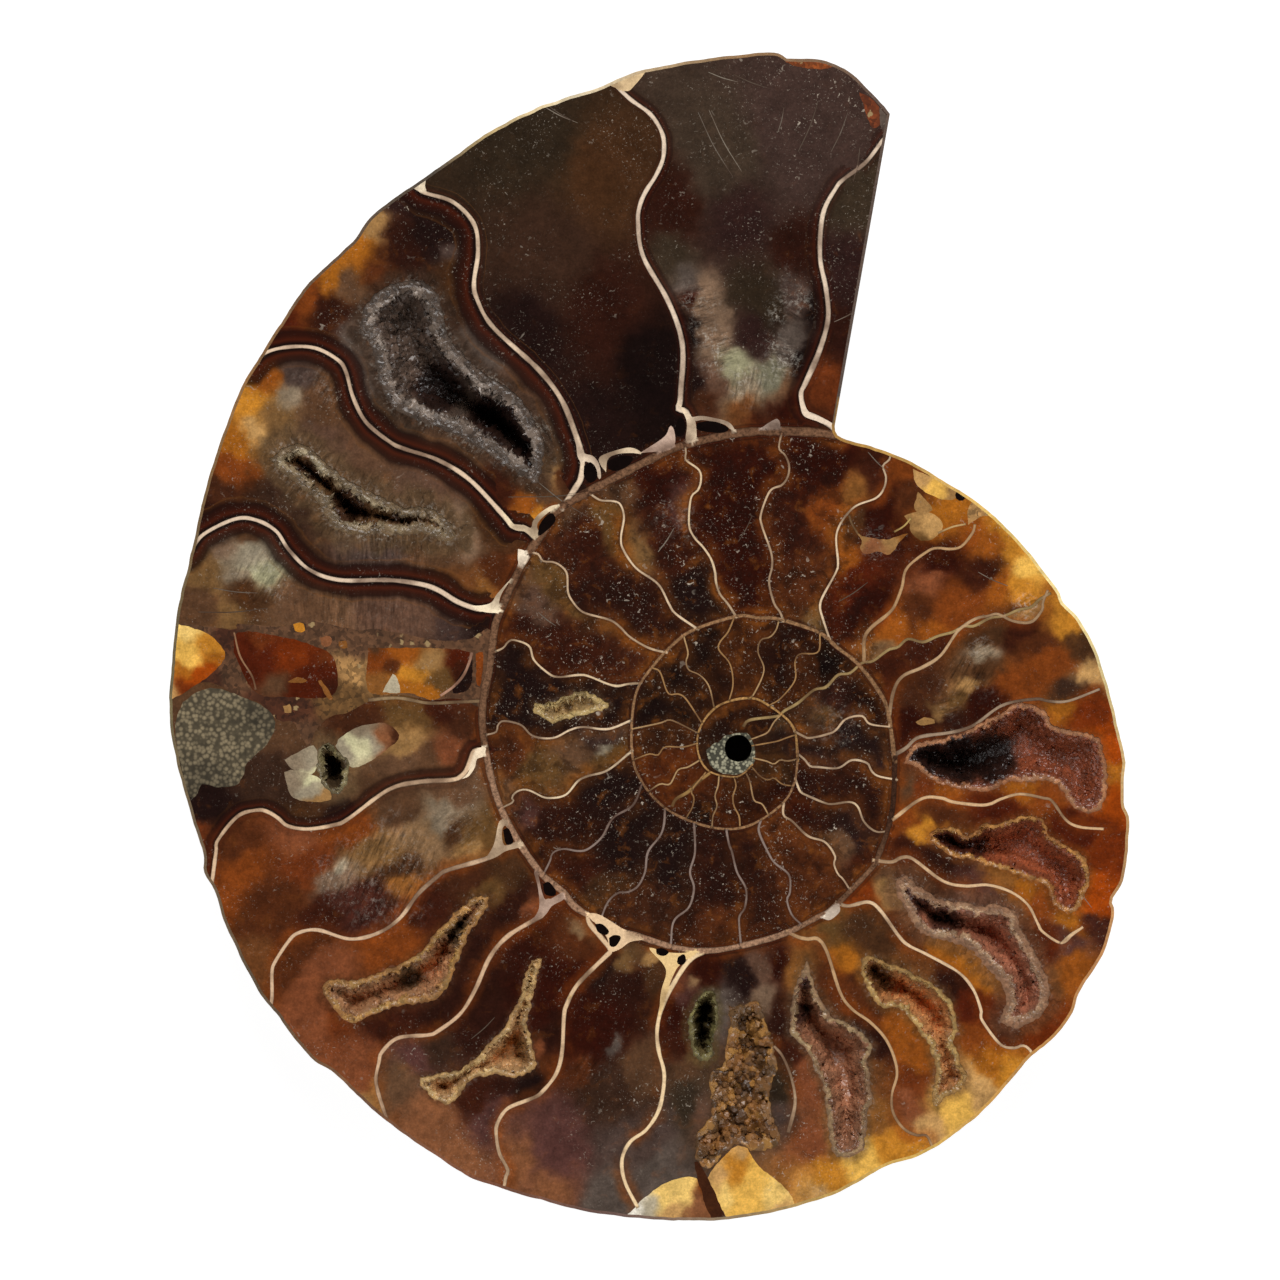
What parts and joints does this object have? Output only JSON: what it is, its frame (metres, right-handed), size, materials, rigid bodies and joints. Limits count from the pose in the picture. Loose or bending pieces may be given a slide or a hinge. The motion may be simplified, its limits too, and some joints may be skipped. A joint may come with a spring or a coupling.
{
  "type": "polished ammonite fossil",
  "caption": "Half of an ammonite fossil, sawn through the coil and polished flat, with crystal-lined open chambers and a ribbed natural back that it lies on.",
  "frame": {"origin": "under the middle of the outline seen from above, at the level of the worn flat that it rests on", "axes": "+Z out of the polished face, +Y towards the sawn mouth of the coil, +X towards the side where the mouth's cut faces"},
  "size_m": [0.096, 0.1166, 0.015],
  "materials": {
    "ammonite": "polished",
    "grey_druse": "crystalline",
    "tan_druse": "crystalline",
    "brown_druse": "crystalline",
    "ochre_fill": "crumbly"
  },
  "bodies": {
    "root": {"ammonite_half": "ammonite", "druse_upper_left": "grey_druse", "druse_left": "grey_druse", "druse_calcite_pocket": "grey_druse", "druse_lower_left": "tan_druse", "druse_lower_fork": "tan_druse", "druse_slot": "tan_druse", "crumbly_fill": "ochre_fill", "druse_bottom": "brown_druse", "druse_bottom_right": "brown_druse", "druse_right_lower": "brown_druse", "druse_right_middle": "brown_druse", "druse_right_upper": "brown_druse", "druse_inner_whorl": "tan_druse"}
  },
  "joints": []
}
